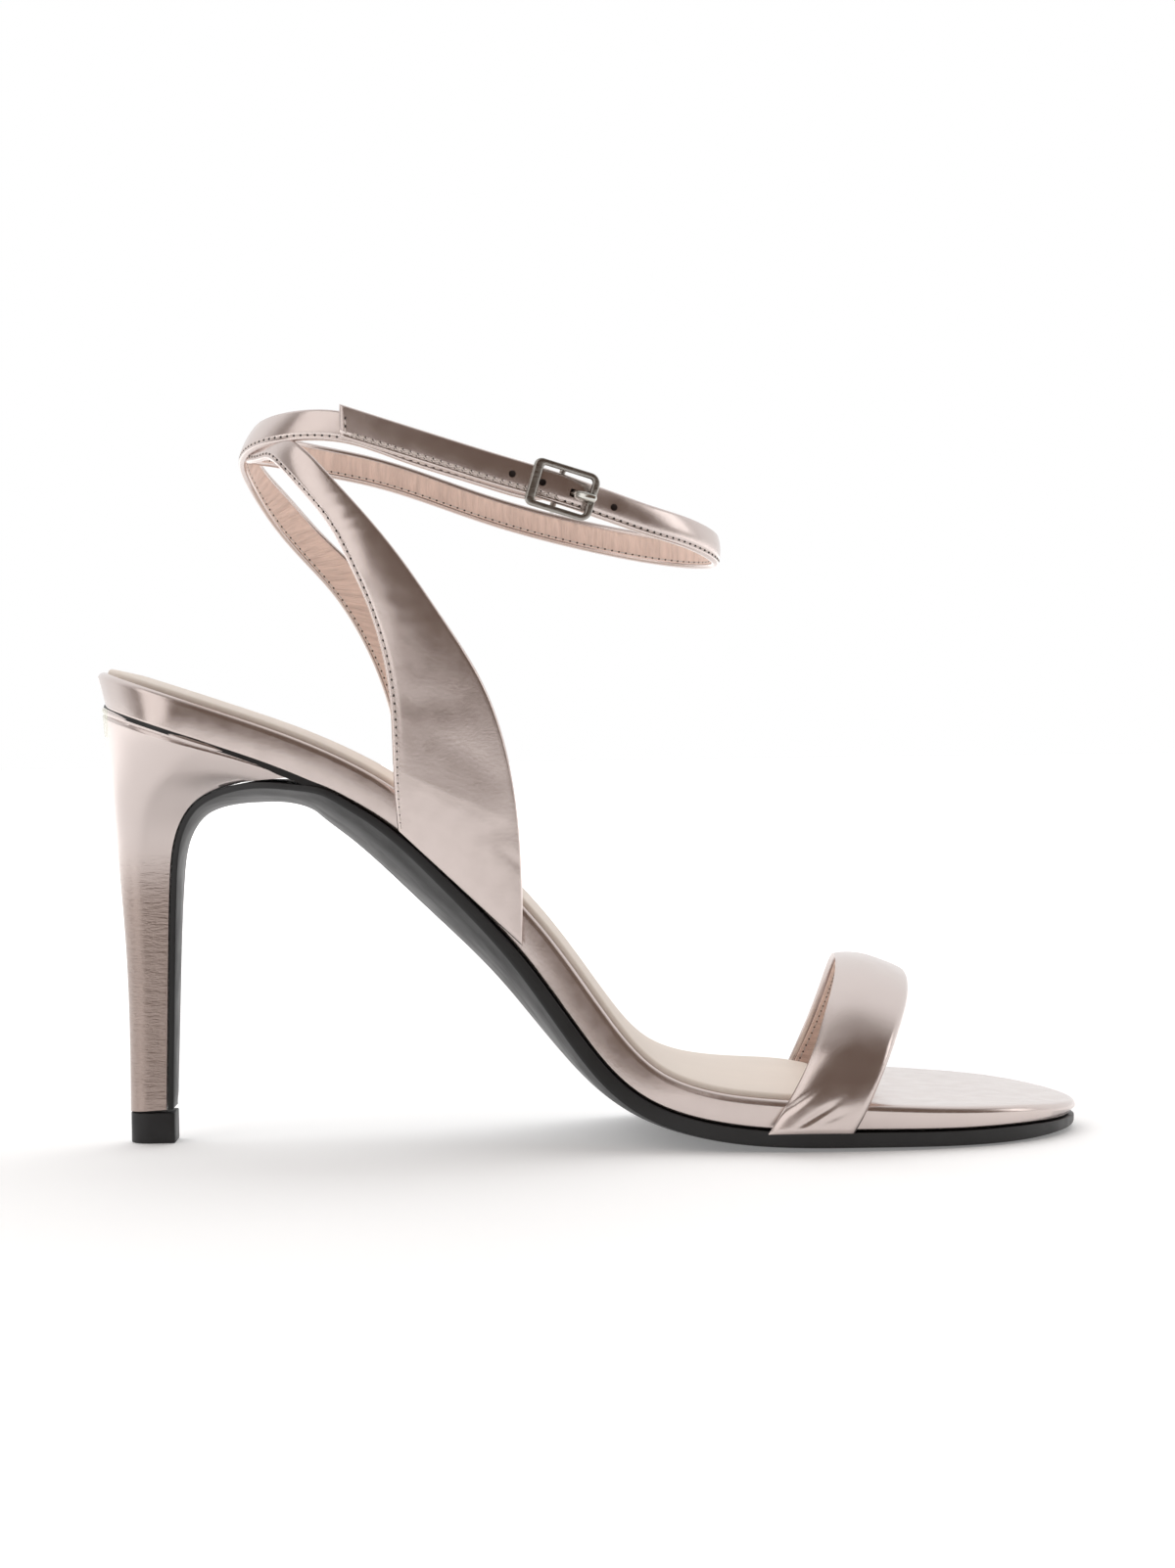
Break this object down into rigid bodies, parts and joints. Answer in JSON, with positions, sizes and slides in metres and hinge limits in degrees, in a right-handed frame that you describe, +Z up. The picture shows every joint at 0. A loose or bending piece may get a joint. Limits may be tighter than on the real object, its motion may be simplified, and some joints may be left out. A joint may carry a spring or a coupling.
{
  "type": "ankle strap high heel sandal",
  "caption": "Open high heel sandal in metallic leather with a toe strap, crossed side straps and a buckled ankle strap, right foot.",
  "frame": {"origin": "middle of the footprint, on the floor", "axes": "+X towards the toe, +Y towards the medial side, +Z up"},
  "size_m": [0.2148, 0.0802, 0.1598],
  "materials": {
    "metal_leather": "metallic rose pewter leather, smooth with a soft sheen",
    "heel_leather": "the same metallic leather, stretched over the heel with fine cross wrinkles",
    "sock": "matte beige lining leather",
    "black_sole": "black, semi gloss",
    "tip_rubber": "black, matte",
    "nickel": "dark nickel plate"
  },
  "bodies": {
    "root": {"outsole": "black_sole", "top_piece": "tip_rubber", "heel": "heel_leather", "insole": "metal_leather", "sock_lining": "sock", "toe_strap": "metal_leather", "upper": "metal_leather", "buckle_frame": "nickel", "buckle_prong": "nickel"}
  },
  "joints": []
}
